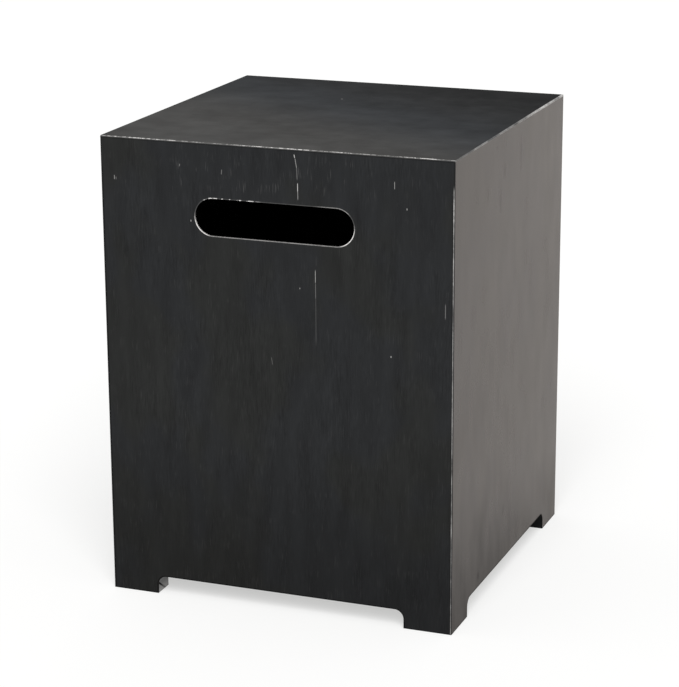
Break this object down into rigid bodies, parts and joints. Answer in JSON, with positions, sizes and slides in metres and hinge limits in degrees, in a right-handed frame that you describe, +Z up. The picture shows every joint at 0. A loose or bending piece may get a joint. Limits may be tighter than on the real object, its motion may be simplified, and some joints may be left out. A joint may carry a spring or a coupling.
{
  "type": "propane tank cover table",
  "caption": "Square welded sheet-metal box with an open bottom, a long hand slot in front and back, and low cut-outs that leave feet at the corners.",
  "frame": {"origin": "on the floor under the middle of the cover", "axes": "+Z up to the table top, -Y out of the front with its hand slot, +X to the right of someone facing the front"},
  "size_m": [0.3874, 0.3874, 0.5016],
  "materials": {
    "painted_sheet": "satin charcoal black over brushed iron, fine upright streaks, bright worn edges",
    "painted_strip": "satin charcoal black",
    "weld_bead": "painted over, rippled"
  },
  "bodies": {
    "root": {"top_panel": "painted_sheet", "front_panel": "painted_sheet", "front_lining": "painted_strip", "right_panel": "painted_sheet", "right_lining": "painted_strip", "back_panel": "painted_sheet", "back_lining": "painted_strip", "left_panel": "painted_sheet", "left_lining": "painted_strip", "front_top_weld": "weld_bead", "right_top_weld": "weld_bead", "back_top_weld": "weld_bead", "left_top_weld": "weld_bead", "front_lining_weld": "weld_bead", "right_lining_weld": "weld_bead", "back_lining_weld": "weld_bead", "left_lining_weld": "weld_bead", "front_left_corner_weld": "weld_bead", "front_right_corner_weld": "weld_bead", "back_right_corner_weld": "weld_bead", "back_left_corner_weld": "weld_bead"}
  },
  "joints": []
}
